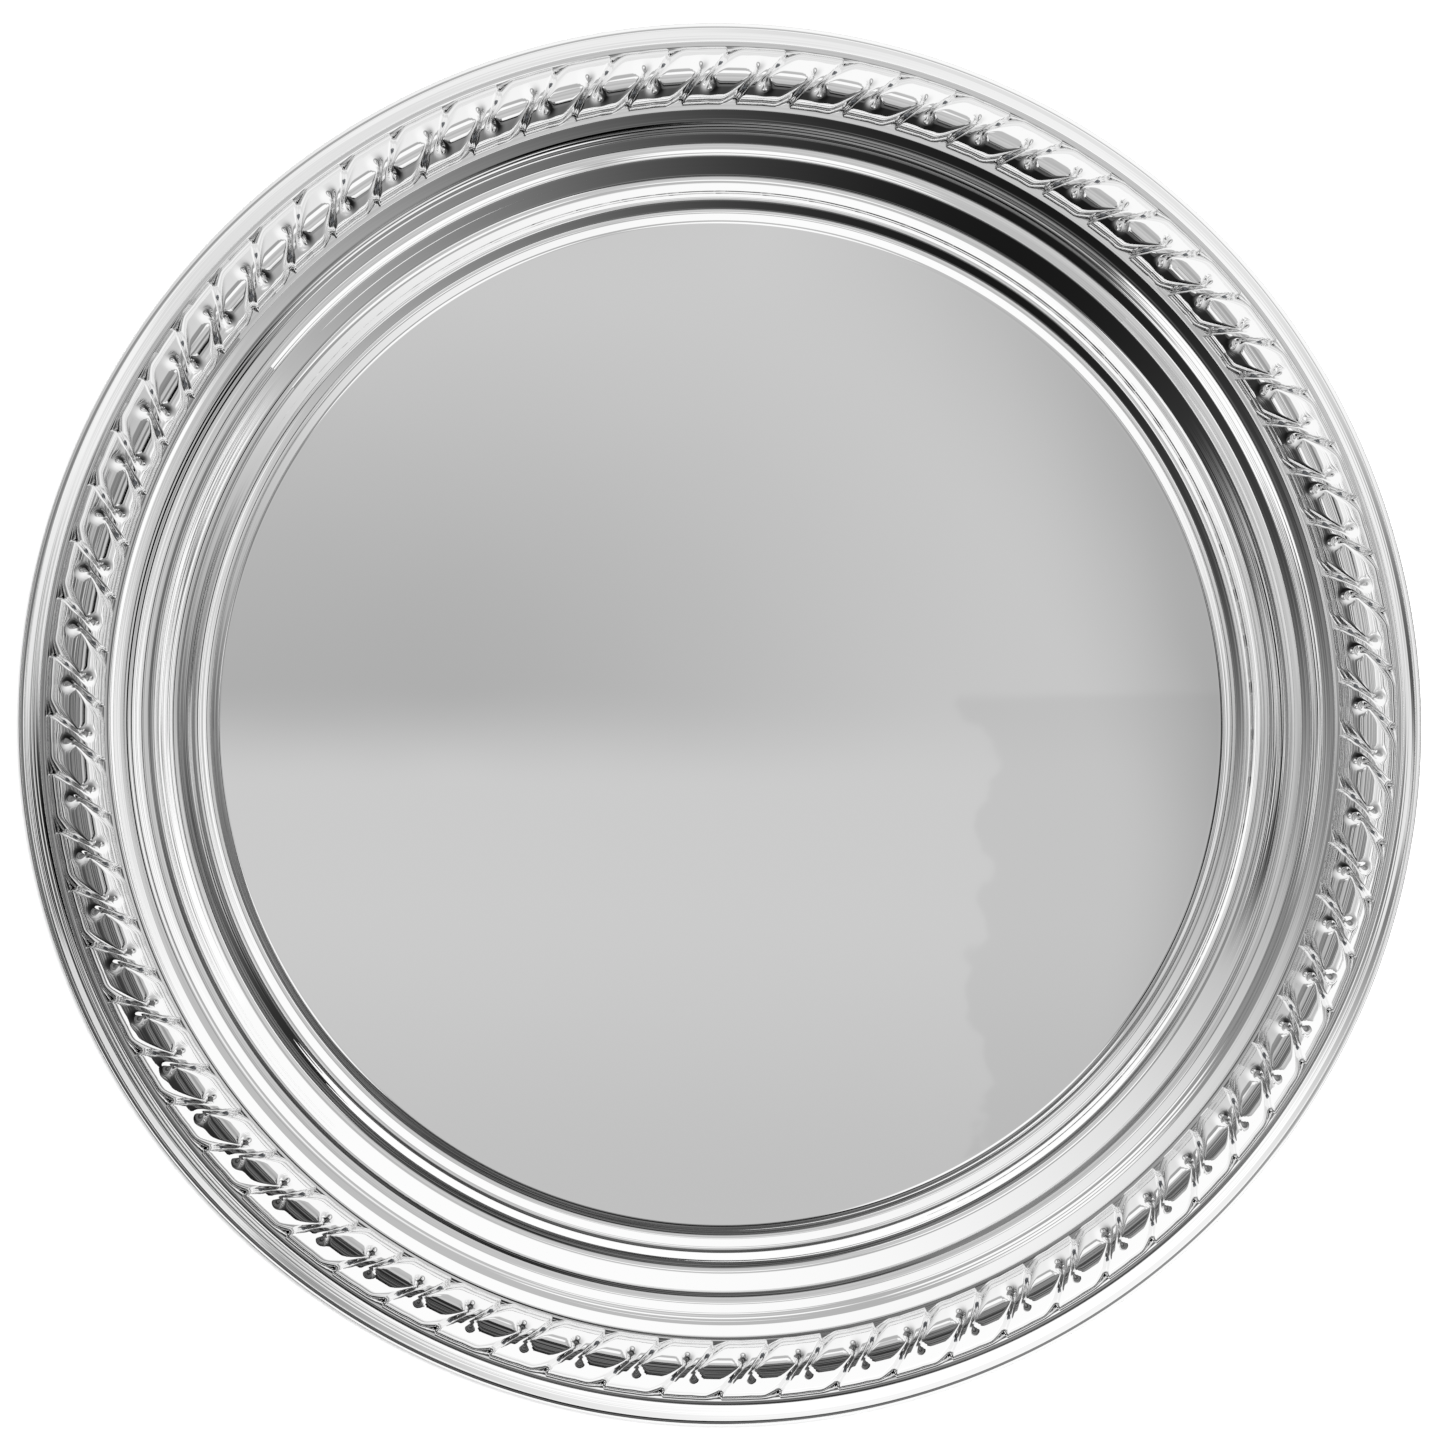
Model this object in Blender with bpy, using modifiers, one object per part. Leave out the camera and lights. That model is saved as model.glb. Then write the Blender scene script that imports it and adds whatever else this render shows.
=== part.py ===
"""A round salver with a gadrooned border, modelled as its five real pieces.

    tray_plate      spun sheet: well, bead, resting channel, wall, cavetto and flange
    gadroon_border  die-struck hollow ring of slanted lobes, its feet on the flange
    border_backing  filler cast inside the hollow ring
    rim_band        drawn strip lapped under the flange, turned down and rolled outwards
    rim_wire        wire inside the rolled edge

Every piece is a ring about Z. The salver rests on z = 0 by the underside of its channel.
"""

import math

import bmesh
import bpy
from mathutils import Matrix

MM = 0.001
CLEARANCE = 0.3 * MM  # between pieces that touch
MERGE_DISTANCE = 0.01 * MM

# Whole salver
OUTER_RADIUS = 152.5 * MM  # over the rolled edge
FLANGE_HEIGHT = 7.6 * MM  # top of the flange above the table

# Spun plate: heights are of its top surface, widths run from the flange inwards
SHEET = 0.9 * MM
INNER_LEDGE = 0.9 * MM  # flange left bare inside the border
CAVETTO_WIDTH = 7.3 * MM
CAVETTO_CURVE = 1.3  # 1 is a straight slope, more is hollower
CAVETTO_STEPS = 4
SHOULDER_HEIGHT = 4.45 * MM
SHOULDER_WIDTH = 2.6 * MM
SHOULDER_ROUNDING = 0.35 * MM  # drop at the top of the wall
WALL_WIDTH = 3.5 * MM
CHANNEL_WIDTH = 2.1 * MM
BEAD_WIDTH = 5.9 * MM
BEAD_CREST_WIDTH = 2.4 * MM  # from the well's valley to the crest
BEAD_HEIGHT = 2.27 * MM
VALLEY_WIDTH = 2.4 * MM
VALLEY_HEIGHT = 1.27 * MM
WELL_HEIGHT = 1.55 * MM

# Gadrooned border
LOBE_PAIRS = 72
BORDER_WIDTH = 12.4 * MM  # foot to foot
LOBE_HEIGHT = 5.8 * MM
GROOVE_DEPTH = 1.2 * MM
NARROW_LOBE_DROP = 0.2 * MM  # pinched lobe below the wide one
GROOVE_SETBACK = 0.3 * MM  # at the feet
FOOT_WIDTH = 1.0 * MM
SHELL_WALL = 0.5 * MM
SECTION_STEPS = 6  # along the arch, foot to foot

# A groove's place along the pitch: 0 to 1 is one pair of lobes, clockwise from above.
# It leans over the inner half of the border and runs straight out over the outer half.
GROOVE_AT_INNER_FOOT = 0.25
GROOVE_AT_OUTER_FOOT = 0.65
GROOVE_LEAN_ENDS = 0.3  # of the half width past the border's middle
PAIR_CENTRE = 0.715  # the other groove is this one turned half round about this place

# Rim band and wire
BAND_SHEET = 0.35 * MM
OUTER_LEDGE = 1.7 * MM  # left bare outside the border
LAP = 2.8 * MM  # lip under the flange
SKIRT_ANGLE = math.radians(54)  # below the horizontal
EDGE_LIFT = 2.82 * MM  # rolled edge above the table
ROLL_RADIUS = 0.9 * MM
ROLL_TURN = math.radians(280)
ROLL_STEPS = 6
WIRE_SIDES = 6

RING_STEPS = LOBE_PAIRS

# The rolled edge's centre, and where the skirt meets the ledge
BORE_RADIUS = ROLL_RADIUS - BAND_SHEET
ROLL_CENTRE = (OUTER_RADIUS - ROLL_RADIUS, EDGE_LIFT + ROLL_RADIUS)
SKIRT_DROP = FLANGE_HEIGHT - ROLL_CENTRE[1] + BORE_RADIUS * math.cos(SKIRT_ANGLE)
LEDGE_RADIUS = ROLL_CENTRE[0] - BORE_RADIUS * math.sin(SKIRT_ANGLE) - SKIRT_DROP / math.tan(SKIRT_ANGLE)

# The border's feet, the seam under its outer foot, and its base plane
BORDER_OUTER = LEDGE_RADIUS - OUTER_LEDGE
BORDER_INNER = BORDER_OUTER - BORDER_WIDTH
BORDER_MIDDLE = (BORDER_OUTER + BORDER_INNER) / 2
SEAM_RADIUS = BORDER_OUTER - FOOT_WIDTH
BORDER_BASE = FLANGE_HEIGHT + CLEARANCE

# The hollow under the arch: a foot, a slanted side and a roof below the grooves
GROOVE_HALF_WIDTH = BORDER_WIDTH / 2 - GROOVE_SETBACK
GROOVE_HEIGHT = LOBE_HEIGHT - GROOVE_DEPTH
HOLLOW_CORNER = math.radians(60)  # round the arch, where the roof's edge lies under the groove
HOLLOW_FOOT = GROOVE_HALF_WIDTH - FOOT_WIDTH
HOLLOW_ROOF = GROOVE_HALF_WIDTH * math.cos(HOLLOW_CORNER)
HOLLOW_HEIGHT = GROOVE_HEIGHT * math.sin(HOLLOW_CORNER) - SHELL_WALL


def clear_scene():
    for item in list(bpy.data.objects):
        bpy.data.objects.remove(item, do_unlink=True)


def new_collection(name):
    collection = bpy.data.collections.new(name)
    bpy.context.scene.collection.children.link(collection)
    return collection


def metal(name, colour, roughness):
    material = bpy.data.materials.new(name)
    material.use_nodes = True
    shader = material.node_tree.nodes["Principled BSDF"]
    shader.inputs["Base Color"].default_value = (*colour, 1.0)
    shader.inputs["Metallic"].default_value = 1.0
    shader.inputs["Roughness"].default_value = roughness
    return material


def add_object(name, mesh, material, collection):
    """A new object of this mesh, in its collection, with its material."""
    piece = bpy.data.objects.new(name, mesh)
    collection.objects.link(piece)
    mesh.materials.append(material)
    return piece


def turned(name, profile, closed, material, collection):
    """A profile of (radius, height) points turned about Z. An open one starts and ends on the axis."""
    shape = bmesh.new()
    points = [shape.verts.new((radius, 0.0, height)) for radius, height in profile]
    for start, end in zip(points, points[1:]):
        shape.edges.new((start, end))
    if closed:
        shape.edges.new((points[-1], points[0]))
    mesh = bpy.data.meshes.new(name)
    shape.to_mesh(mesh)
    shape.free()
    piece = add_object(name, mesh, material, collection)
    screw = piece.modifiers.new("turn", "SCREW")
    screw.axis = "Z"
    screw.angle = math.tau
    screw.steps = RING_STEPS
    screw.render_steps = RING_STEPS
    screw.use_merge_vertices = True
    screw.merge_threshold = MERGE_DISTANCE
    screw.use_smooth_shade = True
    return piece


def arc(centre, radius, start, turn, steps):
    """Points round part of a circle, both ends included; a positive turn is anticlockwise."""
    angles = [start + turn * step / steps for step in range(steps + 1)]
    return [(centre[0] + radius * math.cos(a), centre[1] + radius * math.sin(a)) for a in angles]


def tray_plate_profile():
    """The plate's section: its top surface outwards from the axis, then its underside back."""
    flange_inner = BORDER_INNER - INNER_LEDGE
    shoulder_outer = flange_inner - CAVETTO_WIDTH
    wall_top = shoulder_outer - SHOULDER_WIDTH
    channel_outer = wall_top - WALL_WIDTH
    channel_inner = channel_outer - CHANNEL_WIDTH
    valley = channel_inner - BEAD_WIDTH
    top = [
        (0.0, WELL_HEIGHT),
        (valley - VALLEY_WIDTH, WELL_HEIGHT),
        (valley, VALLEY_HEIGHT),
        (valley + BEAD_CREST_WIDTH, BEAD_HEIGHT),
        (channel_inner, SHEET),
        (channel_outer, SHEET),
        (wall_top, SHOULDER_HEIGHT - SHOULDER_ROUNDING),
    ]
    for step in range(CAVETTO_STEPS + 1):
        share = step / CAVETTO_STEPS
        rise = (FLANGE_HEIGHT - SHOULDER_HEIGHT) * share**CAVETTO_CURVE
        top.append((shoulder_outer + CAVETTO_WIDTH * share, SHOULDER_HEIGHT + rise))
    top.append((SEAM_RADIUS - CLEARANCE, FLANGE_HEIGHT))
    underside = [(radius, height - SHEET) for radius, height in reversed(top)]
    return top + underside


def rim_band_profile():
    """The band's section: lip under the flange, up past the plate's edge, ledge, skirt and roll."""
    lip_top = FLANGE_HEIGHT - SHEET - CLEARANCE
    roll_start = math.pi * 1.5 - SKIRT_ANGLE
    bore = arc(ROLL_CENTRE, BORE_RADIUS, roll_start, ROLL_TURN, ROLL_STEPS)
    roll = arc(ROLL_CENTRE, ROLL_RADIUS, roll_start + ROLL_TURN, -ROLL_TURN, ROLL_STEPS)
    fold = BAND_SHEET * math.tan(SKIRT_ANGLE / 2)
    upper = [
        (SEAM_RADIUS - LAP, lip_top),
        (SEAM_RADIUS, lip_top),
        (SEAM_RADIUS, FLANGE_HEIGHT),
        (LEDGE_RADIUS, FLANGE_HEIGHT),
    ]
    lower = [
        (LEDGE_RADIUS - fold, FLANGE_HEIGHT - BAND_SHEET),
        (SEAM_RADIUS + BAND_SHEET, FLANGE_HEIGHT - BAND_SHEET),
        (SEAM_RADIUS + BAND_SHEET, lip_top - BAND_SHEET),
        (SEAM_RADIUS - LAP, lip_top - BAND_SHEET),
    ]
    return upper + bore + roll + lower


def backing_profile():
    """The filler's section: the hollow under the arch, smaller all round by the clearance."""
    lean = math.atan2(HOLLOW_HEIGHT, HOLLOW_FOOT - HOLLOW_ROOF)
    foot = HOLLOW_FOOT - CLEARANCE / math.sin(lean)
    height = HOLLOW_HEIGHT - CLEARANCE
    roof = foot - height / math.tan(lean)
    return [
        (BORDER_MIDDLE - foot, BORDER_BASE),
        (BORDER_MIDDLE - roof, BORDER_BASE + height),
        (BORDER_MIDDLE + roof, BORDER_BASE + height),
        (BORDER_MIDDLE + foot, BORDER_BASE),
    ]


def groove_phase(across):
    """Where the first groove lies along the pitch; across runs from -1 at the inner foot to 1."""
    share = min(1.0, (across + 1.0) / (1.0 + GROOVE_LEAN_ENDS))
    return GROOVE_AT_INNER_FOOT + (GROOVE_AT_OUTER_FOOT - GROOVE_AT_INNER_FOOT) * share


def other_groove_phase(across):
    return 2 * PAIR_CENTRE - groove_phase(-across)


def lobe_line(across, share):
    """A line along the border: share 0 to 1 crosses the narrow lobe, 1 to 2 the wide one after it."""
    first = groove_phase(across)
    second = other_groove_phase(across)
    if share <= 1.0:
        return first + (second - first) * share
    return second + (first + 1.0 - second) * (share - 1.0)


def border_section(share, height, half_width):
    """One closed section of the hollow ring, as (radius, pitch phase, height) points."""
    section = []
    for step in range(SECTION_STEPS + 1):
        angle = math.pi * step / SECTION_STEPS
        across = -math.cos(angle)
        radius = BORDER_MIDDLE + across * half_width
        section.append((radius, lobe_line(across, share), BORDER_BASE + height * math.sin(angle)))
    hollow = [
        (HOLLOW_FOOT, 0.0),
        (HOLLOW_ROOF, HOLLOW_HEIGHT),
        (-HOLLOW_ROOF, HOLLOW_HEIGHT),
        (-HOLLOW_FOOT, 0.0),
    ]
    for offset, rise in hollow:
        across = offset / (BORDER_WIDTH / 2)
        section.append((BORDER_MIDDLE + offset, lobe_line(across, share), BORDER_BASE + rise))
    return section


def lobe_pair_mesh(name):
    """One pair of lobes: a loft between the grooves and the lobes' crests."""
    full = BORDER_WIDTH / 2
    groove = (GROOVE_HEIGHT, GROOVE_HALF_WIDTH)
    sections = [
        border_section(0.0, *groove),
        border_section(0.5, LOBE_HEIGHT - NARROW_LOBE_DROP, full),
        border_section(1.0, *groove),
        border_section(1.0 + 1 / 3, LOBE_HEIGHT, full),
        border_section(1.0 + 2 / 3, LOBE_HEIGHT, full),
        border_section(2.0, *groove),
    ]
    pitch = math.tau / LOBE_PAIRS
    shape = bmesh.new()
    rows = []
    for section in sections:
        rows.append([
            shape.verts.new((radius * math.sin(phase * pitch), radius * math.cos(phase * pitch), height))
            for radius, phase, height in section
        ])
    for row, following in zip(rows, rows[1:]):
        for index in range(len(row)):
            after = (index + 1) % len(row)
            shape.faces.new((row[index], following[index], following[after], row[after]))
    mesh = bpy.data.meshes.new(name)
    shape.to_mesh(mesh)
    shape.free()
    mesh.shade_smooth()
    return mesh


def gadroon_border(material, parts, guides):
    """The lobe pair repeated all round; a guide turned by one pitch sets the spacing."""
    turn = bpy.data.objects.new("lobe_pitch", None)
    turn.matrix_world = Matrix.Rotation(-math.tau / LOBE_PAIRS, 4, "Z")
    turn.hide_render = True
    guides.objects.link(turn)
    border = add_object("gadroon_border", lobe_pair_mesh("gadroon_border"), material, parts)
    repeat = border.modifiers.new("lobes", "ARRAY")
    repeat.fit_type = "FIXED_COUNT"
    repeat.count = LOBE_PAIRS
    repeat.use_relative_offset = False
    repeat.use_object_offset = True
    repeat.offset_object = turn
    repeat.use_merge_vertices = True
    repeat.use_merge_vertices_cap = True
    repeat.merge_threshold = MERGE_DISTANCE
    return border


def rim_wire(material, parts):
    bpy.ops.mesh.primitive_torus_add(
        major_radius=ROLL_CENTRE[0],
        minor_radius=BORE_RADIUS - CLEARANCE,
        major_segments=RING_STEPS,
        minor_segments=WIRE_SIDES,
        location=(0.0, 0.0, ROLL_CENTRE[1]),
    )
    wire = bpy.context.object
    wire.name = "rim_wire"
    wire.data.name = "rim_wire"
    wire.data.materials.append(material)
    wire.data.shade_smooth()
    for collection in list(wire.users_collection):
        collection.objects.unlink(wire)
    parts.objects.link(wire)
    return wire


clear_scene()
salver = new_collection("silver_salver")
guide_collection = new_collection("guides")
plate_silver = metal("plate_silver", (0.90, 0.90, 0.89), 0.04)
border_silver = metal("border_silver", (0.88, 0.88, 0.87), 0.06)
band_silver = metal("band_silver", (0.89, 0.89, 0.88), 0.05)
lead_filler = metal("lead_filler", (0.32, 0.32, 0.34), 0.6)
wire_metal = metal("wire_metal", (0.72, 0.58, 0.36), 0.35)
turned("tray_plate", tray_plate_profile(), False, plate_silver, salver)
gadroon_border(border_silver, salver, guide_collection)
turned("border_backing", backing_profile(), True, lead_filler, salver)
turned("rim_band", rim_band_profile(), True, band_silver, salver)
rim_wire(wire_metal, salver)
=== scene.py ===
import math

import bmesh
import bpy
from mathutils import Matrix, Vector


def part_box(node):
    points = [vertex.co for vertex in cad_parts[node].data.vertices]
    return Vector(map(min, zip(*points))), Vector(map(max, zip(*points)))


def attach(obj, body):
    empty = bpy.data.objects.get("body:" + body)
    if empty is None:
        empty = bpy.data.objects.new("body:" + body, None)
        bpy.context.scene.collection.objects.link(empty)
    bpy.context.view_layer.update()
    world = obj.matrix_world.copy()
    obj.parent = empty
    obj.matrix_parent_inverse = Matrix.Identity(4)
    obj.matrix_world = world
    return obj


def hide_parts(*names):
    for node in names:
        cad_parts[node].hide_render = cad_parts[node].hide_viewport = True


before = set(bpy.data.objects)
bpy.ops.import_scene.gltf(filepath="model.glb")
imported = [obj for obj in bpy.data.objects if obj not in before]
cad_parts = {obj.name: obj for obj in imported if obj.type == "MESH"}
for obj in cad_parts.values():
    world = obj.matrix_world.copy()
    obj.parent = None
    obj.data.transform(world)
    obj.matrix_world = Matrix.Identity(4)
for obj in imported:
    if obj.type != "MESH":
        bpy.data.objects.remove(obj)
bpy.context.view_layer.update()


# ---------------------------------------------------------------------------------------------
# Spun plate
# One disc of copper-alloy sheet spun over a former and silver plated: flat well, a raised bead,
# the narrow ring it rests on, a steep wall, a shoulder and a hollow sweep up to the flange.
# ---------------------------------------------------------------------------------------------

MM = 0.001                       # of a metre, the frame's unit
PLATE_SHEET = 0.9
PLATE_TURNS = 384
PLATE_STEP = 0.2                 # outwards, from one ring of the mesh to the next
PLATE_SMOOTH_RADIUS = 108        # the well keeps no rings from the tool

# Distance in from the salver's outer edge, and the slope of the upper face there in degrees,
# climbing outwards. Between two stations the slope changes evenly.
PLATE_SLOPES = (
    # gutter round the well
    (43.7, 0), (43.2, -12), (42.5, -26), (41.9, -22), (41.4, -8),
    # inner side of the bead
    (40.7, 10), (40.3, 27), (39.2, 30), (38.6, 16), (38.3, 0),
    # outer side of the bead
    (38.0, -12), (37.5, -27), (37.1, -32), (36.2, -27), (35.4, -22), (34.9, -12), (34.3, -6),
    # resting ring and wall
    (33.8, 0), (33.2, 18), (32.6, 34), (31.5, 37), (29.8, 38),
    # shoulder
    (29.3, 22), (28.9, -3), (28.5, -9), (28.0, -9), (27.5, 6),
    # hollow sweep, eased half way up
    (26.6, 10), (26.2, 27), (24.9, 30), (24.4, 17), (22.1, 16), (21.6, 24), (20.6, 27), (19.9, 33),
    (19.5, 36),
    # crease and flange
    (19.3, 1), (18.0, 0),
)


def linear_colour(text):
    """An sRGB hex colour, such as F2F2F0, as linear red, green, blue and alpha."""
    channels = [int(text[i:i + 2], 16) / 255 for i in (0, 2, 4)]
    return [c / 12.92 if c <= 0.04045 else ((c + 0.055) / 1.055) ** 2.4 for c in channels] + [1.0]


def add_node(tree, kind, inputs=None, **settings):
    """Adds a node, sets its properties and fills or links its inputs, by name or by number."""
    node = tree.nodes.new(kind)
    for name, value in settings.items():
        setattr(node, name, value)
    for name, value in (inputs or {}).items():
        if isinstance(value, bpy.types.NodeSocket):
            tree.links.new(value, node.inputs[name])
        else:
            node.inputs[name].default_value = value
    return node


def new_material(name):
    """An empty material with its Principled shader and its output."""
    material = bpy.data.materials.new(name)
    material.use_nodes = True
    tree = material.node_tree
    return material, tree, tree.nodes["Principled BSDF"]


def polished_silver_plate(name, colour, haze, wave_slope, mark_slope, smooth_inside=0):
    """Electroplated silver, buffed to a mirror: hand-buffing leaves the sheet very slightly wavy,
    with a faint haze where it was wiped, and turned work keeps low rings from the tool. The haze
    is a roughness, the two slopes are heights over widths, and smooth_inside is a radius in mm."""
    material, tree, shader = new_material(name)
    shader.inputs["Base Color"].default_value = linear_colour(colour)
    shader.inputs["Metallic"].default_value = 1.0
    place = add_node(tree, "ShaderNodeTexCoord").outputs["Object"]
    wipe_width = 35 * MM
    wiped = add_node(tree, "ShaderNodeTexNoise", {
        "Vector": place, "Scale": 1 / wipe_width, "Detail": 3.0, "Roughness": 0.6})
    hazed = add_node(tree, "ShaderNodeMapRange", {
        "Value": wiped.outputs["Fac"], "From Min": 0.35, "From Max": 0.75,
        "To Min": haze * 0.5, "To Max": haze})
    tree.links.new(hazed.outputs["Result"], shader.inputs["Roughness"])
    wave_width = 45 * MM
    waves = add_node(tree, "ShaderNodeTexNoise", {
        "Vector": place, "Scale": 1 / wave_width, "Detail": 1.0, "Roughness": 0.4})
    wavy = add_node(tree, "ShaderNodeBump", {
        "Strength": 1.0, "Distance": wave_slope * wave_width, "Height": waves.outputs["Fac"]})
    level = add_node(tree, "ShaderNodeVectorMath", {0: place, 1: (1, 1, 0)}, operation="MULTIPLY")
    radius = add_node(tree, "ShaderNodeVectorMath", {0: level.outputs[0]}, operation="LENGTH")
    mark_width = 1.1 * MM
    marks = add_node(tree, "ShaderNodeTexNoise", {
        "W": radius.outputs["Value"], "Scale": 1 / mark_width, "Detail": 1.5, "Roughness": 0.6},
        noise_dimensions="1D")
    turned = add_node(tree, "ShaderNodeBump", {
        "Distance": mark_slope * mark_width, "Height": marks.outputs["Fac"],
        "Normal": wavy.outputs["Normal"]})
    kept_smooth = add_node(tree, "ShaderNodeMapRange", {
        "Value": radius.outputs["Value"], "From Min": smooth_inside * MM,
        "From Max": (smooth_inside + 2) * MM})
    tree.links.new(kept_smooth.outputs["Result"], turned.inputs["Strength"])
    tree.links.new(turned.outputs["Normal"], shader.inputs["Normal"])
    return material


def turned_piece(name, profile, closed, turns):
    """A section of (radius, height) points in mm, turned about Z into one smooth mesh."""
    section = bmesh.new()
    points = [section.verts.new((radius * MM, 0.0, height * MM)) for radius, height in profile]
    for start, end in zip(points, points[1:]):
        section.edges.new((start, end))
    if closed:
        section.edges.new((points[-1], points[0]))
    outline = bpy.data.meshes.new(name)
    section.to_mesh(outline)
    section.free()
    piece = bpy.data.objects.new(name, outline)
    bpy.context.scene.collection.objects.link(piece)
    turn = piece.modifiers.new("turn", "SCREW")
    turn.steps = turn.render_steps = turns
    turn.use_merge_vertices = True
    turn.merge_threshold = 0.000001
    turn.use_smooth_shade = True
    return plain_mesh(piece)


def plain_mesh(piece):
    """Swaps a piece's live modifiers for the mesh that they make."""
    bpy.context.view_layer.update()
    made = bpy.data.meshes.new_from_object(piece.evaluated_get(bpy.context.evaluated_depsgraph_get()))
    piece.modifiers.clear()
    piece.data = made
    return piece


def follow_slopes(stations, edge, step):
    """Walks outwards along the stations and adds up the slope into (radius, height) points."""
    radii = [edge - inset for inset, _ in stations]
    slopes = [slope for _, slope in stations]
    height = 0.0
    points = [(0.0, height), (radii[0], height)]
    for index in range(len(radii) - 1):
        span = radii[index + 1] - radii[index]
        pieces = max(1, round(span / step)) if slopes[index] or slopes[index + 1] else 1
        for piece in range(pieces):
            share = (piece + 0.5) / pieces
            slope = slopes[index] + (slopes[index + 1] - slopes[index]) * share
            height += span / pieces * math.tan(math.radians(slope))
            points.append((radii[index] + span * (piece + 1) / pieces, height))
    return points


salver_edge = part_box("rim_band")[1].x / MM
plate_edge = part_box("tray_plate")[1].x / MM
plate_walk = follow_slopes(PLATE_SLOPES, salver_edge, PLATE_STEP)
lift = PLATE_SHEET - min(height for _, height in plate_walk)
plate_top = [(radius, height + lift) for radius, height in plate_walk]
flange_top = plate_top[-1][1]
plate_top.append((plate_edge, flange_top))
plate_under = [(radius, height - PLATE_SHEET) for radius, height in plate_top]
plate = turned_piece("spun_plate", plate_top + plate_under[::-1], False, PLATE_TURNS)
plate_silver = polished_silver_plate(
    "buffed_silver_plate_sheet", "F4F4F4", 0.03, 0.0012, 0.05, PLATE_SMOOTH_RADIUS)
plate.data.materials.append(plate_silver)
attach(plate, "root")
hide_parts("tray_plate")


# ---------------------------------------------------------------------------------------------
# Gadrooned border
# A half-round moulding struck in a die from thin sheet and soldered down on the flange. Each
# pitch has one wide S-shaped lobe and one narrow lobe pinched in the middle, cut apart by two
# grooves that lean over one half of the moulding and run straight out over the other.
# ---------------------------------------------------------------------------------------------

LOBE_PAIRS = 72
BORDER_MIDDLE_INSET = 12.3       # in from the salver's outer edge
BORDER_HALF_WIDTH = 6.2
BORDER_RISE = 5.8
ARCH_STEPS = 36                  # foot to foot
NARROW_LOBE_STEPS = 14
WIDE_LOBE_STEPS = 20
GROOVE_AT_STRAIGHT_FOOT = 0.56   # of the pitch, clockwise from above
GROOVE_LEAN = 0.37               # of the pitch, from the middle to the leaning foot
GROOVE_BEND = 0.12               # of the half width past the middle, where leaning starts
PAIR_CENTRE = 0.63               # the second groove is the first turned half round about this
GROOVE_DEPTH = 1.3               # at the middle
LEANING_FOOT_DEPTH = 1.2
STRAIGHT_FOOT_DEPTH = 0.08
STEEP_WIDTH = 0.25               # how far a leaning groove's side spreads on to the narrow lobe
SOFT_WIDTH = 3.4                 # the same, on the wide lobe at the leaning foot
MIDDLE_WIDTH = 0.5               # the same, on both lobes where the lean starts
VALLEY_WIDTH = 2.1               # the same, where the groove runs straight


def groove_place(across):
    """The first groove's place along the pitch; across is -1 at the inner foot, 1 at the outer."""
    lean = min(1.0, max(0.0, (GROOVE_BEND - across) / (1.0 + GROOVE_BEND)))
    return GROOVE_AT_STRAIGHT_FOOT - GROOVE_LEAN * lean


def second_groove_place(across):
    """The second groove's place along the pitch."""
    return 2 * PAIR_CENTRE - groove_place(-across)


def eased(share):
    """A share between 0 and 1 that starts and ends gently."""
    share = min(1.0, max(0.0, share))
    return share * share * (3 - 2 * share)


def groove_depth(across, beside, on_wide_lobe):
    """How deep the first groove cuts, beside mm away from its line, measured along the pitch."""
    if across < 0:
        foot_width = SOFT_WIDTH if on_wide_lobe else STEEP_WIDTH
        width = MIDDLE_WIDTH + (foot_width - MIDDLE_WIDTH) * eased(0.15 - across)
        depth = GROOVE_DEPTH + (LEANING_FOOT_DEPTH - GROOVE_DEPTH) * eased(-across)
        round_bottom = 0.0
    else:
        width = MIDDLE_WIDTH + (VALLEY_WIDTH - MIDDLE_WIDTH) * eased(across / 0.4)
        depth = GROOVE_DEPTH + (STRAIGHT_FOOT_DEPTH - GROOVE_DEPTH) * eased(across / 0.75)
        round_bottom = eased(across / 0.3) * eased((1.0 - across) / 0.5)
    away = min(1.0, beside / width)
    sharp = (1.0 - away) ** 1.35
    soft = 0.5 + 0.5 * math.cos(math.pi * away)
    return depth * (sharp + (soft - sharp) * round_bottom)


def border_point(angle, share, narrow):
    """A point of the moulding: angle runs from the inner foot over to the outer one."""
    across = -math.cos(angle)
    first = groove_place(across)
    second = second_groove_place(across)
    eased_share = 0.5 - 0.5 * math.cos(math.pi * share)
    if narrow:
        phase = first + (second - first) * eased_share
        to_first, to_second = phase - first, second - phase
    else:
        phase = second + (first + 1.0 - second) * eased_share
        to_first, to_second = first + 1.0 - phase, phase - second
    pitch = math.tau / LOBE_PAIRS
    pitch_mm = border_middle * pitch
    cut = max(groove_depth(across, to_first * pitch_mm, not narrow),
              groove_depth(-across, to_second * pitch_mm, not narrow))
    fall = BORDER_RISE / BORDER_HALF_WIDTH * across / max(0.05, math.sin(angle))
    length = math.hypot(fall, 1.0)
    radius = border_middle + BORDER_HALF_WIDTH * across - cut * fall / length
    height = BORDER_RISE * math.sin(angle) - cut / length
    turn = phase * pitch
    return Vector((radius * math.sin(turn), radius * math.cos(turn), flange_top + max(0.0, height))) * MM


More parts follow.
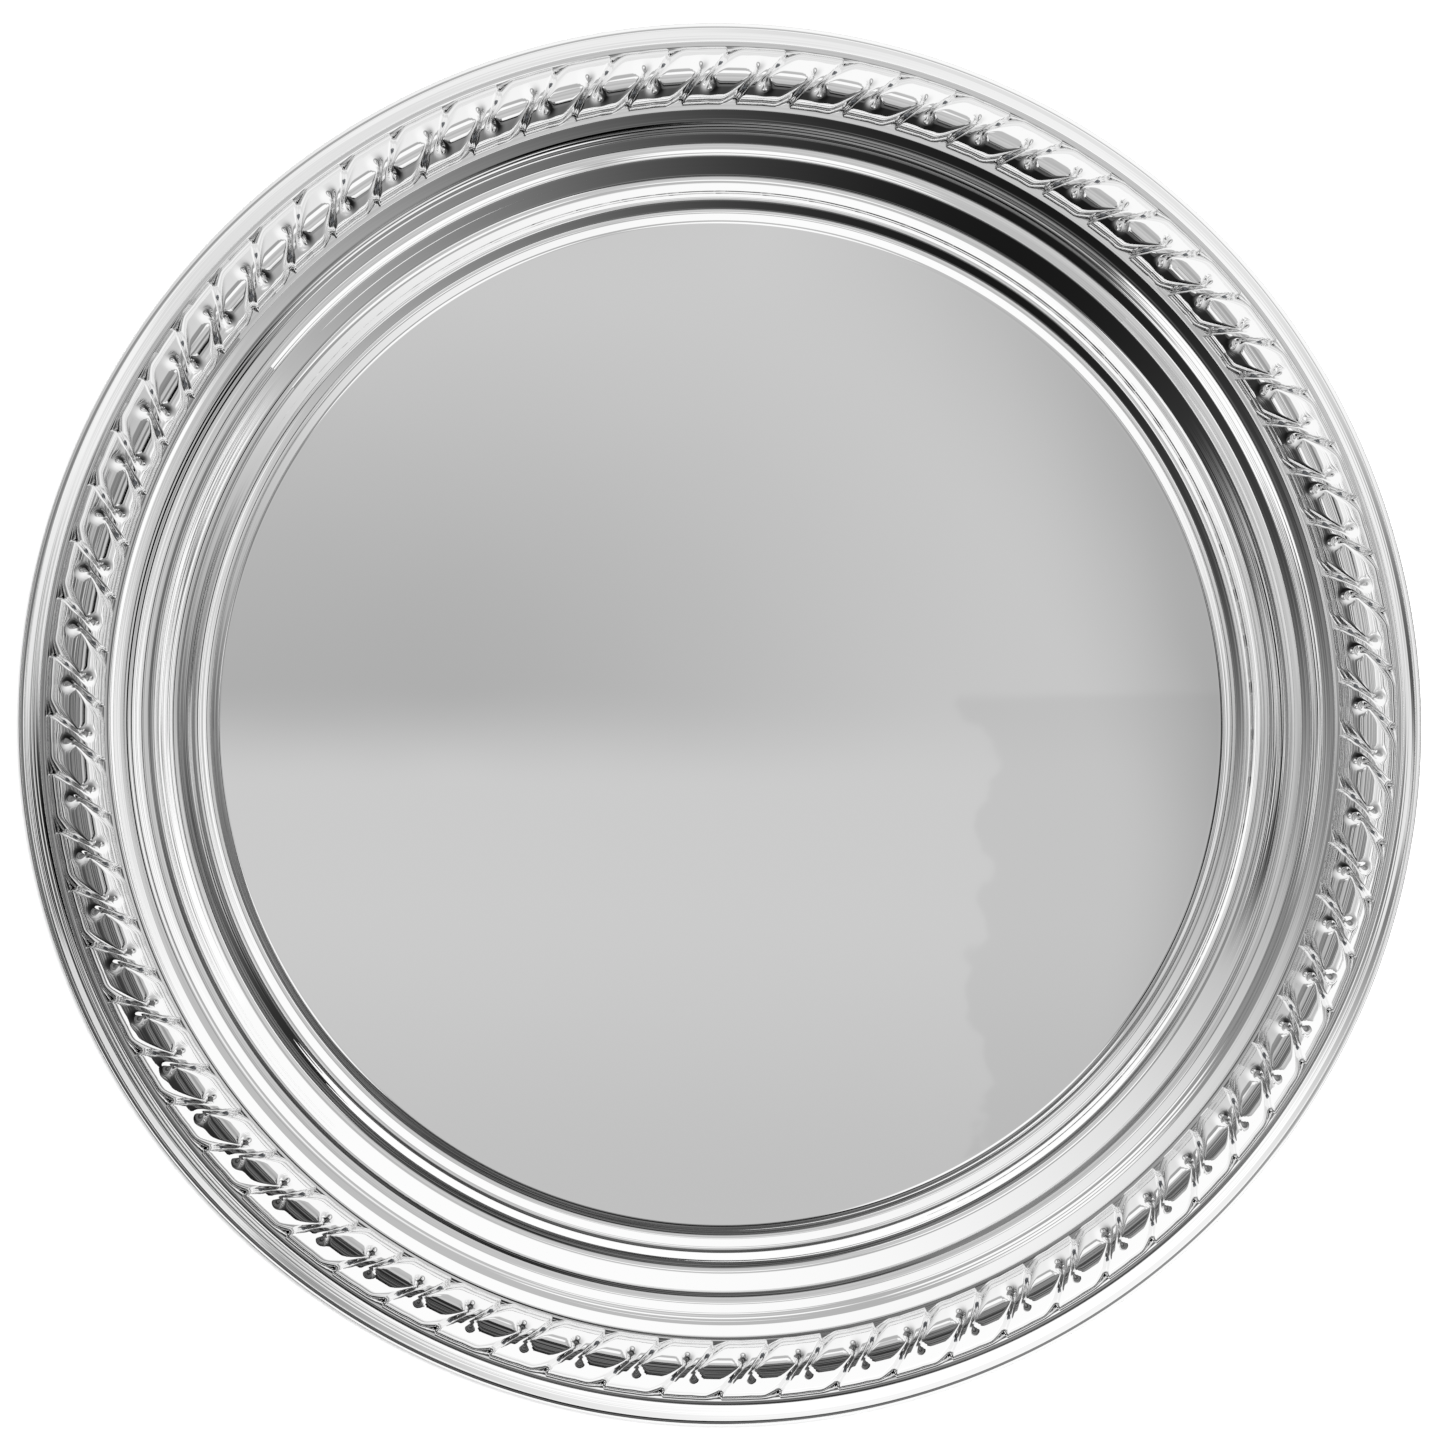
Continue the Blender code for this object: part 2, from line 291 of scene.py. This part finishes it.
def lobe_pair_die():
    """One pitch of the border: its upper face, and a flat base between its feet."""
    shape = bmesh.new()
    columns = [(step / NARROW_LOBE_STEPS, True) for step in range(NARROW_LOBE_STEPS)]
    columns += [(step / WIDE_LOBE_STEPS, False) for step in range(WIDE_LOBE_STEPS + 1)]
    rows = []
    for share, narrow in columns:
        angles = [math.pi * step / ARCH_STEPS for step in range(ARCH_STEPS + 1)]
        rows.append([shape.verts.new(border_point(angle, share, narrow)) for angle in angles])
    for row, following in zip(rows, rows[1:]):
        for index in range(-1, ARCH_STEPS):    # from -1, which closes the base between the feet
            shape.faces.new((row[index], following[index], following[index + 1], row[index + 1]))
    mesh = bpy.data.meshes.new("lobe_pair_die")
    shape.to_mesh(mesh)
    shape.free()
    die = bpy.data.objects.new("lobe_pair_die", mesh)
    bpy.context.scene.collection.objects.link(die)
    return die


def ring_of_copies():
    """Geometry Nodes: copies of one die about Z, joined into one skin."""
    tree = bpy.data.node_groups.new("ring_of_lobe_pairs", "GeometryNodeTree")
    sockets = {}
    for name, kind in (("Die", "Object"), ("Pairs", "Int"), ("Finish", "Material")):
        sockets[name] = tree.interface.new_socket(name=name, in_out="INPUT", socket_type="NodeSocket" + kind)
    tree.interface.new_socket(name="Ring", in_out="OUTPUT", socket_type="NodeSocketGeometry")
    given = add_node(tree, "NodeGroupInput").outputs
    die = add_node(tree, "GeometryNodeObjectInfo", {"Object": given["Die"]})
    points = add_node(tree, "GeometryNodePoints", {"Count": given["Pairs"]})
    number = add_node(tree, "GeometryNodeInputIndex")
    pitch = add_node(tree, "ShaderNodeMath", {0: -math.tau, 1: given["Pairs"]}, operation="DIVIDE")
    turn = add_node(tree, "ShaderNodeMath", {0: number.outputs[0], 1: pitch.outputs[0]}, operation="MULTIPLY")
    about_z = add_node(tree, "ShaderNodeCombineXYZ", {"Z": turn.outputs[0]})
    turned = add_node(tree, "FunctionNodeEulerToRotation", {0: about_z.outputs[0]})
    copies = add_node(tree, "GeometryNodeInstanceOnPoints", {
        "Points": points.outputs[0], "Instance": die.outputs["Geometry"], "Rotation": turned.outputs[0]})
    real = add_node(tree, "GeometryNodeRealizeInstances", {"Geometry": copies.outputs[0]})
    joined = add_node(tree, "GeometryNodeMergeByDistance", {
        "Geometry": real.outputs[0], "Distance": 0.000004})
    smooth = add_node(tree, "GeometryNodeSetShadeSmooth", {"Geometry": joined.outputs[0]})
    finished = add_node(tree, "GeometryNodeSetMaterial", {
        "Geometry": smooth.outputs[0], "Material": given["Finish"]})
    add_node(tree, "NodeGroupOutput", {"Ring": finished.outputs[0]})
    return tree, sockets


border_middle = salver_edge - BORDER_MIDDLE_INSET
border_silver = polished_silver_plate("buffed_silver_plate_border", "F2F2F2", 0.04, 0.0, 0.0)
die = lobe_pair_die()
border = bpy.data.objects.new("gadrooned_border", bpy.data.meshes.new("gadrooned_border"))
bpy.context.scene.collection.objects.link(border)
tree, sockets = ring_of_copies()
copying = border.modifiers.new("lobes", "NODES")
copying.node_group = tree
copying[sockets["Die"].identifier] = die
copying[sockets["Pairs"].identifier] = LOBE_PAIRS
copying[sockets["Finish"].identifier] = border_silver
plain_mesh(border)
bpy.data.objects.remove(die)
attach(border, "root")
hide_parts("gadroon_border")


# ---------------------------------------------------------------------------------------------
# Border filler
# Lead-tin alloy run into the hollow border so that it can't be dented. It is shut in between
# the border and the flange, and keeps its CAD shape.
# ---------------------------------------------------------------------------------------------


def cast_filler():
    """Lead-tin alloy as cast: dull blue grey, with a coarse frosted grain."""
    material, tree, shader = new_material("cast_lead_tin")
    shader.inputs["Metallic"].default_value = 1.0
    shader.inputs["Roughness"].default_value = 0.6
    place = add_node(tree, "ShaderNodeTexCoord").outputs["Object"]
    grain = 1.5 * MM
    frost = add_node(tree, "ShaderNodeTexNoise", {"Vector": place, "Scale": 1 / grain, "Detail": 4.0})
    tone = add_node(tree, "ShaderNodeMix", {
        "Factor": frost.outputs["Fac"], "A": linear_colour("7C7F84"), "B": linear_colour("9C9FA3")},
        data_type="RGBA")
    tree.links.new(tone.outputs["Result"], shader.inputs["Base Color"])
    rough = add_node(tree, "ShaderNodeBump", {"Distance": 0.05 * MM, "Height": frost.outputs["Fac"]})
    tree.links.new(rough.outputs["Normal"], shader.inputs["Normal"])
    return material


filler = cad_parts["border_backing"]
filler.data.materials.clear()
filler.data.materials.append(cast_filler())


# ---------------------------------------------------------------------------------------------
# Rim band
# A strip drawn through a shaped die, bent into a hoop and soldered under the flange: a narrow
# ledge outside the border, a steep skirt turned down, and the lower edge rolled over a wire.
# ---------------------------------------------------------------------------------------------

BAND_SHEET = 0.35
BAND_TURNS = 576
LEDGE_EDGE_INSET = 4.4           # where the ledge turns down, in from the outer edge
LEDGE_REACH = 3.0                # how far it runs in under the border
LEDGE_FOLD = 0.45                # radius of the fold
SKIRT_SLOPE = 52                 # degrees down from level
LIP_INSET = 1.25                 # where the skirt flares into the lip, in from the outer edge
LIP_SLOPE = 11
CREASE_STEP = 0.1                # close points each side of the flare keep it crisp
ROLL_RADIUS = 0.62
ROLL_TURN = 290                  # degrees, from the lip round and back up


def round_points(centre, radius, start, turn, steps):
    """Points on part of a circle, in degrees, anticlockwise when the turn is positive."""
    angles = [math.radians(start + turn * step / steps) for step in range(steps + 1)]
    return [(centre[0] + radius * math.cos(a), centre[1] + radius * math.sin(a)) for a in angles]


def band_section():
    """The band's section: along the top from under the border, down the skirt, out along the
    lip, round the roll and back up the inside. Also gives the middle of the roll."""
    corner = (salver_edge - LEDGE_EDGE_INSET, flange_top)
    fold_centre = (corner[0] - LEDGE_FOLD * math.tan(math.radians(SKIRT_SLOPE / 2)), corner[1] - LEDGE_FOLD)
    flare = (salver_edge - LIP_INSET,
             corner[1] - (LEDGE_EDGE_INSET - LIP_INSET) * math.tan(math.radians(SKIRT_SLOPE)))
    lip_way = (math.sin(math.radians(LIP_SLOPE)), math.cos(math.radians(LIP_SLOPE)))
    roll_x = salver_edge - ROLL_RADIUS
    lip_end = (roll_x + ROLL_RADIUS * lip_way[0],
               flare[1] - (roll_x + ROLL_RADIUS * lip_way[0] - flare[0]) * math.tan(math.radians(LIP_SLOPE)))
    roll = (roll_x, lip_end[1] - ROLL_RADIUS * lip_way[1])
    top = [(corner[0] - LEDGE_REACH, flange_top)]
    top += round_points(fold_centre, LEDGE_FOLD, 90, -SKIRT_SLOPE, 8)
    skirt_way = (math.cos(math.radians(SKIRT_SLOPE)), math.sin(math.radians(SKIRT_SLOPE)))
    top += [(flare[0] - back * skirt_way[0], flare[1] + back * skirt_way[1])
            for back in (1.5, 2 * CREASE_STEP, CREASE_STEP, 0)]
    top.append((flare[0] + CREASE_STEP * lip_way[1], flare[1] - CREASE_STEP * lip_way[0]))
    top += round_points(roll, ROLL_RADIUS, 90 - LIP_SLOPE, -ROLL_TURN, 28)
    under = round_points(roll, ROLL_RADIUS - BAND_SHEET, 90 - LIP_SLOPE - ROLL_TURN, ROLL_TURN, 14)
    bend = math.radians((SKIRT_SLOPE + LIP_SLOPE) / 2)
    under.append((flare[0] - BAND_SHEET * math.sin(bend), flare[1] - BAND_SHEET * math.cos(bend)))
    under += round_points(fold_centre, LEDGE_FOLD - BAND_SHEET, 90 - SKIRT_SLOPE, SKIRT_SLOPE, 3)
    under.append((corner[0] - LEDGE_REACH, flange_top - BAND_SHEET))
    return top + under, roll


band_outline, roll_centre = band_section()
band = turned_piece("rim_band_and_roll", band_outline, True, BAND_TURNS)
band_silver = polished_silver_plate("buffed_silver_plate_band", "F3F3F3", 0.03, 0.0006, 0.05)
band.data.materials.append(band_silver)
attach(band, "root")
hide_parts("rim_band")


# ---------------------------------------------------------------------------------------------
# Rim wire
# Drawn brass wire that keeps the rim round and stiff. The band's lower edge is rolled over it,
# and nothing else holds it.
# ---------------------------------------------------------------------------------------------

WIRE_RADIUS = 0.24


def drawn_brass():
    """Brass wire as drawn: warm, satin, with faint marks along it."""
    material, tree, shader = new_material("drawn_brass_wire")
    shader.inputs["Metallic"].default_value = 1.0
    shader.inputs["Roughness"].default_value = 0.35
    place = add_node(tree, "ShaderNodeTexCoord").outputs["Object"]
    mark = 0.4 * MM
    marks = add_node(tree, "ShaderNodeTexNoise", {"Vector": place, "Scale": 1 / mark, "Detail": 2.0})
    tone = add_node(tree, "ShaderNodeMix", {
        "Factor": marks.outputs["Fac"], "A": linear_colour("B08B45"), "B": linear_colour("C9A65E")},
        data_type="RGBA")
    tree.links.new(tone.outputs["Result"], shader.inputs["Base Color"])
    return material


bpy.ops.mesh.primitive_torus_add(
    major_radius=roll_centre[0] * MM, minor_radius=WIRE_RADIUS * MM,
    major_segments=BAND_TURNS, minor_segments=12, location=(0, 0, roll_centre[1] * MM))
wire = bpy.context.object
wire.name = wire.data.name = "drawn_rim_wire"
bpy.ops.object.transform_apply(location=True)
bpy.ops.object.shade_smooth()
wire.data.materials.append(drawn_brass())
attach(wire, "root")
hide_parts("rim_wire")


# ---------------------------------------------------------------------------------------------
# Table and studio
# A plain white table top under an even white light. Polished silver shows only what stands
# round it, so a cloth light tent, a low white card and a flat grey hoop stand round the salver,
# on paper of their own. Only the silver sees them. The card, hoop and paper glow with painted light.
# ---------------------------------------------------------------------------------------------

TABLE_RADIUS = 8.0
TENT_RADIUS = 1.2
DARK_BEARING = 210               # clockwise from +Y, the side where the room is dark
TENT_LAMPS = ((340, 21, 8), (15, 22, 6), (130, 19, 8), (240, 20, 8))   # bearing, zenith angle, half size

# Bands of the tent, from the top down. Heights are the sine of the angle above the table.
TENT_BANDS = (
    # height where it starts, height where it is full, bearing of its darkest part, how narrow
    # that part is, tone opposite, tone there
    (0.978, 0.955, DARK_BEARING - 10, 0.5, 0.80, 0.22),
    (0.91, 0.89, DARK_BEARING + 10, 1.2, 0.74, 0.32),
    (0.83, 0.78, DARK_BEARING, 1.8, 0.99, 0.12),
)
FOLD_GAP = math.radians(3.5)
FOLD_BANDS = (
    # height where it starts, height where it is full, fold depth to the west and east, and on
    # the dark side
    (0.968, 0.945, 0.6, 0.3),
    (0.91, 0.87, 0.08, 0.0),
    (0.56, 0.5, 0.45, 0.0),
)
SHADE_FADES = (("Y", 0.045, 0.09, 0, 1), ("Y", 0.08, 0.30, 1, 0), ("X", -0.05, 0.24, 1, 0.15))
SHADE_DEPTH = 0.115
LAP_DEPTH = 0.03
PAPER_RIPPLE_GAP = 8
HOOP_ENDS = (45, 310)            # bearings
HOOP_HEIGHT = 0.053
HOOP_INSIDE = 0.130
HOOP_WIDTH = 0.038
HOOP_PLEAT_GAP = 2.5
HOOP_PLEAT_SHADE_DEPTH = 0.14
CARD_ENDS = (95, 255)            # bearings
CARD_RADIUS = 0.195
CARD_TOP = 0.085


def stage_mesh(name, shape, material):
    """Makes a stage item of this bmesh, in this material."""
    mesh = bpy.data.meshes.new(name)
    shape.to_mesh(mesh)
    shape.free()
    mesh.materials.append(material)
    item = bpy.data.objects.new(name, mesh)
    bpy.context.scene.collection.objects.link(item)
    return item


def silver_only(item):
    """Leaves a stage item to be seen in the silver and nowhere else."""
    item.visible_camera = False
    item.visible_diffuse = False
    item.visible_shadow = False
    item.visible_transmission = False


def disc(radius):
    """A round sheet, flat on the ground."""
    shape = bmesh.new()
    bmesh.ops.create_circle(shape, cap_ends=True, segments=96, radius=radius)
    return shape


def curved_strip(ends, steps, edges):
    """A strip between two bearings; edges gives its two (radius, height) points at a fullness
    that eases from 0 at each end to 1 between them."""
    shape = bmesh.new()
    rows = []
    for step in range(steps + 1):
        share = step / steps
        turn = math.radians(ends[0] + (ends[1] - ends[0]) * share)
        fullness = eased(4 * share) * eased(4 * (1 - share))
        rows.append([shape.verts.new((radius * math.sin(turn), radius * math.cos(turn), height))
                     for radius, height in edges(fullness)])
    for near, far in zip(rows, rows[1:]):
        shape.faces.new((near[0], near[1], far[1], far[0]))
    return shape


def painted_table():
    """Matt white paint, with no shine."""
    material, _, shader = new_material("matt_white_table")
    shader.inputs["Base Color"].default_value = linear_colour("F0F0F0")
    shader.inputs["Roughness"].default_value = 0.8
    shader.inputs["Specular IOR Level"].default_value = 0.1
    return material


def lit_cloth(name):
    """An empty material for cloth or paper that glows, with its tree and object coordinates."""
    material = bpy.data.materials.new(name)
    material.use_nodes = True
    tree = material.node_tree
    tree.nodes.clear()
    return material, tree, add_node(tree, "ShaderNodeTexCoord").outputs["Object"]


def glow_of(tree, tone):
    """Finishes a glowing material in a tone between 0 and 1, as the eye sees tones."""
    strength = add_node(tree, "ShaderNodeMath", {0: tone, 1: 2.2}, operation="POWER")
    brighter = add_node(tree, "ShaderNodeMath", {0: strength.outputs[0], 1: 1.1}, operation="MULTIPLY")
    glow = add_node(tree, "ShaderNodeEmission", {"Color": (1, 1, 1, 1), "Strength": brighter.outputs[0]})
    add_node(tree, "ShaderNodeOutputMaterial", {"Surface": glow.outputs[0]})


def facing(tree, place, bearing, power, far=0.0, near=1.0):
    """A value that goes from far, opposite this bearing, to near, towards it. A higher power
    narrows the part that is near."""
    way = (math.sin(math.radians(bearing)), math.cos(math.radians(bearing)), 0)
    level = add_node(tree, "ShaderNodeVectorMath", {0: place, 1: (1, 1, 0)}, operation="MULTIPLY")
    unit = add_node(tree, "ShaderNodeVectorMath", {0: level.outputs[0]}, operation="NORMALIZE")
    towards = add_node(tree, "ShaderNodeVectorMath", {0: unit.outputs[0], 1: way}, operation="DOT_PRODUCT")
    half = add_node(tree, "ShaderNodeMapRange", {"Value": towards.outputs["Value"], "From Min": -1.0})
    narrowed = add_node(tree, "ShaderNodeMath", {0: half.outputs[0], 1: power}, operation="POWER")
    return add_node(tree, "ShaderNodeMapRange", {
        "Value": narrowed.outputs[0], "To Min": far, "To Max": near}).outputs["Result"]


def changed_below(tree, height, start, full, above, below):
    """What is above the height where a change starts, and what is below where it is full."""
    change = add_node(tree, "ShaderNodeMapRange", {
        "Value": height, "From Min": start, "From Max": full}, interpolation_type="SMOOTHSTEP")
    return add_node(tree, "ShaderNodeMix", {
        "Factor": change.outputs["Result"], "A": above, "B": below}).outputs["Result"]


def product_of_fades(tree, fades):
    """Several fades multiplied. Each takes its value between start and end to one between low
    and high."""
    product = 1.0
    for value, start, end, low, high in fades:
        fade = add_node(tree, "ShaderNodeMapRange", {
            "Value": value, "From Min": start, "From Max": end, "To Min": low, "To Max": high},
            interpolation_type="SMOOTHSTEP")
        product = add_node(tree, "ShaderNodeMath", {0: fade.outputs["Result"], 1: product},
                           operation="MULTIPLY").outputs[0]
    return product


def overhead_tone(tree, place):
    """The cloth right overhead: even, with a soft shade hung to the west whose lower edge is
    plain to see, and a second cloth lapped over it to the south east, its hem a little ragged."""
    spot = add_node(tree, "ShaderNodeSeparateXYZ", {0: place}).outputs
    shade = product_of_fades(tree, [(spot[axis], *fade) for axis, *fade in SHADE_FADES])
    rag = add_node(tree, "ShaderNodeTexNoise", {"Vector": place, "Scale": 45.0, "Detail": 2.0})
    hem = add_node(tree, "ShaderNodeMath", {0: rag.outputs["Fac"], 1: 0.06, 2: spot["X"]},
                   operation="MULTIPLY_ADD")
    lapped = product_of_fades(tree, (
        (hem.outputs[0], 0.225, 0.228, 0, 1), (spot["Y"], 0.088, 0.083, 0, 1)))
    plain = add_node(tree, "ShaderNodeMapRange", {
        "Value": spot["Y"], "From Min": -0.14, "From Max": 0.0, "To Min": 0.75, "To Max": 0.795},
        interpolation_type="SMOOTHSTEP")
    shaded = add_node(tree, "ShaderNodeMath", {0: shade, 1: -SHADE_DEPTH, 2: plain.outputs["Result"]},
                      operation="MULTIPLY_ADD")
    return add_node(tree, "ShaderNodeMath", {0: lapped, 1: -LAP_DEPTH, 2: shaded.outputs[0]},
                    operation="MULTIPLY_ADD").outputs[0]


def folds(tree, unit):
    """Folds and seams that run level round the tent, some degrees apart, each fading out within
    half a turn: a line from -1 to 1, and how much the place lies to the west or east."""
    parts = add_node(tree, "ShaderNodeSeparateXYZ", {0: unit}).outputs
    down = add_node(tree, "ShaderNodeMath", {0: parts["Z"]}, operation="ARCCOSINE")
    down = add_node(tree, "ShaderNodeMath", {0: down.outputs[0], 1: 1 / FOLD_GAP}, operation="MULTIPLY")
    along = add_node(tree, "ShaderNodeCombineXYZ", {"X": parts["X"], "Y": parts["Y"], "Z": down.outputs[0]})
    lines = add_node(tree, "ShaderNodeTexNoise", {
        "Vector": along.outputs[0], "Scale": 1.0, "Detail": 2.0, "Roughness": 0.6})
    line = add_node(tree, "ShaderNodeMapRange", {
        "Value": lines.outputs["Fac"], "From Min": 0.45, "From Max": 0.55, "To Min": -1.0},
        interpolation_type="SMOOTHSTEP")
    level = add_node(tree, "ShaderNodeVectorMath", {0: unit, 1: (1, 1, 0)}, operation="MULTIPLY")
    way = add_node(tree, "ShaderNodeVectorMath", {0: level.outputs[0]}, operation="NORMALIZE")
    east = add_node(tree, "ShaderNodeSeparateXYZ", {0: way.outputs[0]}).outputs["X"]
    squared = add_node(tree, "ShaderNodeMath", {0: east, 1: east}, operation="MULTIPLY")
    sideways = add_node(tree, "ShaderNodeMapRange", {
        "Value": squared.outputs[0], "From Min": 0.70, "From Max": 0.97}, interpolation_type="SMOOTHSTEP")
    return line.outputs["Result"], sideways.outputs["Result"]


def tent_cloth():
    """White cloth, lit through: grey overhead, darker half way down towards the dark side of the
    room, with level folds, and four lamps shine through it near the top."""
    material, tree, place = lit_cloth("tent_cloth")
    unit = add_node(tree, "ShaderNodeVectorMath", {0: place}, operation="NORMALIZE").outputs[0]
    height = add_node(tree, "ShaderNodeSeparateXYZ", {0: unit}).outputs["Z"]
    tone = overhead_tone(tree, place)
    for start, full, bearing, power, light, dark in TENT_BANDS:
        band = facing(tree, place, bearing, power, light, dark)
        tone = changed_below(tree, height, start, full, tone, band)
    for bearing, polar, size in TENT_LAMPS:
        lean = math.radians(polar)
        centre = (math.sin(lean) * math.sin(math.radians(bearing)),
                  math.sin(lean) * math.cos(math.radians(bearing)), math.cos(lean))
        nearness = add_node(tree, "ShaderNodeVectorMath", {0: unit, 1: centre}, operation="DOT_PRODUCT")
        edge = math.cos(math.radians(size))
        lit = add_node(tree, "ShaderNodeMapRange", {
            "Value": nearness.outputs["Value"], "From Min": edge, "From Max": 0.4 * edge + 0.6},
            interpolation_type="SMOOTHSTEP")
        tone = add_node(tree, "ShaderNodeMix", {
            "Factor": lit.outputs["Result"], "A": tone, "B": 1.1}).outputs["Result"]
    line, sideways = folds(tree, unit)
    towards_dark = facing(tree, place, DARK_BEARING - 10, 1)
    depth = 0.0
    for start, full, side_depth, dark_depth in FOLD_BANDS:
        elsewhere = add_node(tree, "ShaderNodeMapRange", {
            "Value": towards_dark, "To Max": dark_depth}, interpolation_type="SMOOTHSTEP")
        band = add_node(tree, "ShaderNodeMix", {
            "Factor": sideways, "A": elsewhere.outputs["Result"], "B": side_depth})
        depth = changed_below(tree, height, start, full, depth, band.outputs["Result"])
    folded = add_node(tree, "ShaderNodeMath", {0: line, 1: depth, 2: tone},
                      operation="MULTIPLY_ADD", use_clamp=True)
    glow_of(tree, folded.outputs[0])
    return material


def ripple_shade_rings(tree, place, gap_mm):
    """Soft rings of painted shade round Z, about a gap apart: -1 to 1."""
    distance = add_node(tree, "ShaderNodeVectorMath", {0: place}, operation="LENGTH").outputs["Value"]
    unit = add_node(tree, "ShaderNodeVectorMath", {0: place}, operation="NORMALIZE")
    way = add_node(tree, "ShaderNodeSeparateXYZ", {0: unit.outputs[0]}).outputs
    ring = add_node(tree, "ShaderNodeMath", {0: distance, 1: gap_mm * MM}, operation="DIVIDE")
    spot = add_node(tree, "ShaderNodeCombineXYZ", {"X": ring.outputs[0], "Y": way["X"], "Z": way["Y"]})
    rings = add_node(tree, "ShaderNodeTexNoise", {"Vector": spot.outputs[0], "Scale": 1.0})
    return add_node(tree, "ShaderNodeMapRange", {
        "Value": rings.outputs["Fac"], "From Min": 0.44, "From Max": 0.56, "To Min": -1.0},
        interpolation_type="SMOOTHSTEP").outputs["Result"]


def paper_under_tent():
    """White paper that glows with painted light: bright at the front and back, with painted shade to the west
    and east, and soft rings of painted shade where it is a little rippled.
    """
    material, tree, place = lit_cloth("paper_under_tent")
    west = facing(tree, place, 250, 10, 0.0, 0.58)
    east = facing(tree, place, 92, 24, 0.0, 0.4)
    plain = facing(tree, place, 0, 3, 1.0, 0.9)
    shade = add_node(tree, "ShaderNodeMath", {0: west, 1: east}, operation="ADD").outputs[0]
    shaded = add_node(tree, "ShaderNodeMath", {0: plain, 1: shade}, operation="SUBTRACT")
    depth = add_node(tree, "ShaderNodeMath", {0: shade, 1: 0.7, 2: 0.03}, operation="MULTIPLY_ADD")
    tone = add_node(tree, "ShaderNodeMath", {
        0: ripple_shade_rings(tree, place, PAPER_RIPPLE_GAP), 1: depth.outputs[0], 2: shaded.outputs[0]},
        operation="MULTIPLY_ADD")
    glow_of(tree, tone.outputs[0])
    return material


def hoop_cloth():
    """Pleated grey cloth that glows with painted light: painted shade makes it darkest at the front, and
    bands of painted shade mark the pleats.
    """
    material, tree, place = lit_cloth("hoop_cloth")
    plain = facing(tree, place, DARK_BEARING - 10, 1, 0.85, 0.3)
    tone = add_node(tree, "ShaderNodeMath", {
        0: ripple_shade_rings(tree, place, HOOP_PLEAT_GAP), 1: HOOP_PLEAT_SHADE_DEPTH, 2: plain}, operation="MULTIPLY_ADD")
    glow_of(tree, tone.outputs[0])
    return material


def white_card():
    """White card that glows with painted light, as if lit from the front."""
    material, tree, _ = lit_cloth("white_card")
    glow_of(tree, 1.0)
    return material


def hoop_edges(fullness):
    """The hoop is flat over the border, and widest at the front."""
    outside = HOOP_INSIDE + HOOP_WIDTH * (0.3 + 0.7 * fullness)
    return (HOOP_INSIDE, HOOP_HEIGHT), (outside, HOOP_HEIGHT)


def card_edges(fullness):
    """The card stands just off the paper and leans outwards."""
    top = CARD_TOP * fullness
    return (CARD_RADIUS, 0.001), (CARD_RADIUS + 0.1 * top, 0.001 + top)


table = stage_mesh("table_top", disc(TABLE_RADIUS), painted_table())
table.visible_glossy = False
silver_only(stage_mesh("paper_under_tent", disc(TENT_RADIUS), paper_under_tent()))
dome = bmesh.new()
bmesh.ops.create_uvsphere(dome, u_segments=96, v_segments=64, radius=TENT_RADIUS)
silver_only(stage_mesh("light_tent", dome, tent_cloth()))
silver_only(stage_mesh("front_card", curved_strip(CARD_ENDS, 48, card_edges), white_card()))
silver_only(stage_mesh("grey_hoop", curved_strip(HOOP_ENDS, 72, hoop_edges), hoop_cloth()))

key_data = bpy.data.lights.new("overhead_light", "AREA")
key_data.shape = "DISK"
key_data.size = 2.0
key_data.energy = 60.0
key = bpy.data.objects.new("overhead_light", key_data)
key.location = (0.3, 0.4, 2.2)
key.rotation_euler = (-key.location).to_track_quat("-Z", "Y").to_euler()
key.visible_glossy = False
bpy.context.scene.collection.objects.link(key)

room = bpy.data.worlds.new("pale_room")
room.use_nodes = True
room.node_tree.nodes["Background"].inputs["Color"].default_value = linear_colour("F4F4F4")
room.node_tree.nodes["Background"].inputs["Strength"].default_value = 1.0
bpy.context.scene.world = room


# ---------------------------------------------------------------------------------------------
# Camera
# It looks down on the salver from a long way off and a few degrees to the side, with its up
# side towards +Y, and takes in the whole rim.
# ---------------------------------------------------------------------------------------------

CAMERA_DISTANCE = 3.0
CAMERA_TILT = 5.5
CAMERA_BEARING = 230             # clockwise from +Y
FRAME_WIDTH = 0.3134             # how much it takes in, where the salver stands

lens = bpy.data.cameras.new("camera")
lens.sensor_width = 36.0
lens.lens = lens.sensor_width * CAMERA_DISTANCE / FRAME_WIDTH
lens.clip_end = 50.0
camera = bpy.data.objects.new("camera", lens)
bpy.context.scene.collection.objects.link(camera)
bearing = math.radians(CAMERA_BEARING)
tilt = math.radians(CAMERA_TILT)
look_back = Vector((math.sin(tilt) * math.sin(bearing), math.sin(tilt) * math.cos(bearing), math.cos(tilt)))
aim = Vector((0.0, 0.0, roll_centre[1] * MM))
right = Vector((0, 1, 0)).cross(look_back).normalized()
up = look_back.cross(right)
placed = Matrix((right, up, look_back)).transposed().to_4x4()
placed.translation = aim + look_back * CAMERA_DISTANCE
camera.matrix_world = placed
bpy.context.scene.camera = camera
bpy.context.scene.view_settings.view_transform = "Standard"
